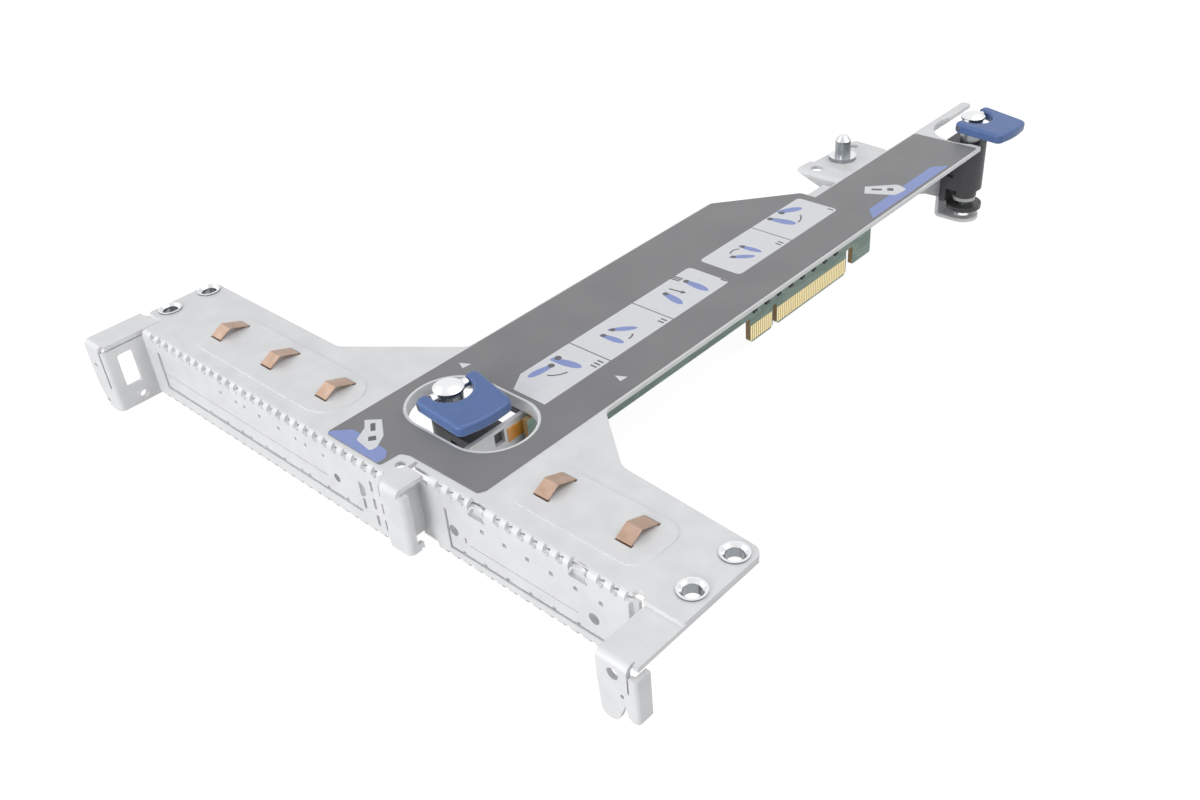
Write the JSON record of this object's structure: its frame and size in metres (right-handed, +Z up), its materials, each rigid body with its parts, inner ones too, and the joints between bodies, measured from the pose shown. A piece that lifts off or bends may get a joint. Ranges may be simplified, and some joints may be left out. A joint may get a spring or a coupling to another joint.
{
  "type": "pcie riser board",
  "caption": "Riser board in a T-shaped sheet steel cage, with two slot windows, a keyed edge board and two turn latches with blue handles.",
  "frame": {"origin": "on the rear latch axis, at the sole of its foot", "axes": "+X along the rear wall towards the right wing, +Y from the rear wall to the front latch, +Z up"},
  "size_m": [0.2026, 0.281, 0.0389],
  "materials": {
    "sheet_steel": "satin zinc-plated sheet",
    "bright_steel": "bright turned steel",
    "copper": "beryllium copper, bare",
    "label_film": "printed satin film",
    "blue_plastic": "moulded, smooth",
    "black_plastic": "moulded, fine texture",
    "white_plastic": "moulded",
    "board_laminate": "solder mask over glass laminate",
    "gold_plating": "gold plate",
    "amber_film": "translucent film"
  },
  "bodies": {
    "cage": {"cage_plate": "sheet_steel", "left_side_bracket": "sheet_steel", "right_side_bracket": "sheet_steel", "slot_blank_full_height": "sheet_steel", "slot_blank_low_profile": "sheet_steel", "stud_bracket": "sheet_steel", "riser_carrier": "sheet_steel", "front_latch_bracket": "sheet_steel", "wing_eyelets": "bright_steel", "guide_stud": "bright_steel", "carrier_rivets": "bright_steel", "front_bracket_rivets": "bright_steel", "stud_bracket_rivet": "bright_steel", "board_screws": "bright_steel", "board_standoffs": "bright_steel", "rear_latch_screw": "bright_steel", "front_latch_screw": "bright_steel", "grounding_clip_1": "copper", "grounding_clip_2": "copper", "grounding_clip_3": "copper", "grounding_clip_4": "copper", "grounding_clip_5": "copper", "instruction_label": "label_film", "rear_latch_housing": "black_plastic", "front_latch_housing": "black_plastic", "slot_connector": "black_plastic", "board_components": "black_plastic", "riser_board": "board_laminate", "edge_contacts": "gold_plating", "slot_contacts": "gold_plating", "insulating_strip": "amber_film"},
    "rear_latch_shaft": {"rear_latch_stem": "bright_steel", "rear_latch_hinge_pin": "bright_steel", "rear_latch_collar": "white_plastic", "rear_latch_cam": "bright_steel", "rear_latch_cross_pin": "bright_steel"},
    "rear_latch_lever": {"rear_latch_handle": "blue_plastic"},
    "front_latch_shaft": {"front_latch_stem": "bright_steel", "front_latch_hinge_pin": "bright_steel", "front_latch_collar": "white_plastic", "front_latch_cam": "bright_steel", "front_latch_cross_pin": "bright_steel"},
    "front_latch_lever": {"front_latch_handle": "blue_plastic"}
  },
  "joints": [
    {"name": "rear_latch_turn", "type": "hinge", "parent": "cage", "child": "rear_latch_shaft", "pos_m": [0, 0, 0.0325], "axis": [0, 0, 1], "range_deg": [0, 180]},
    {"name": "rear_latch_flip", "type": "hinge", "parent": "rear_latch_shaft", "child": "rear_latch_lever", "pos_m": [0, 0, 0.036], "axis": [-0.1045, -0.9945, 0], "range_deg": [-1, 94]},
    {"name": "front_latch_turn", "type": "hinge", "parent": "cage", "child": "front_latch_shaft", "pos_m": [0.0232, 0.219, 0.0325], "axis": [0, 0, 1], "range_deg": [0, 180]},
    {"name": "front_latch_flip", "type": "hinge", "parent": "front_latch_shaft", "child": "front_latch_lever", "pos_m": [0.0232, 0.219, 0.036], "axis": [-0.0698, -0.9976, 0], "range_deg": [-31, 94]}
  ]
}
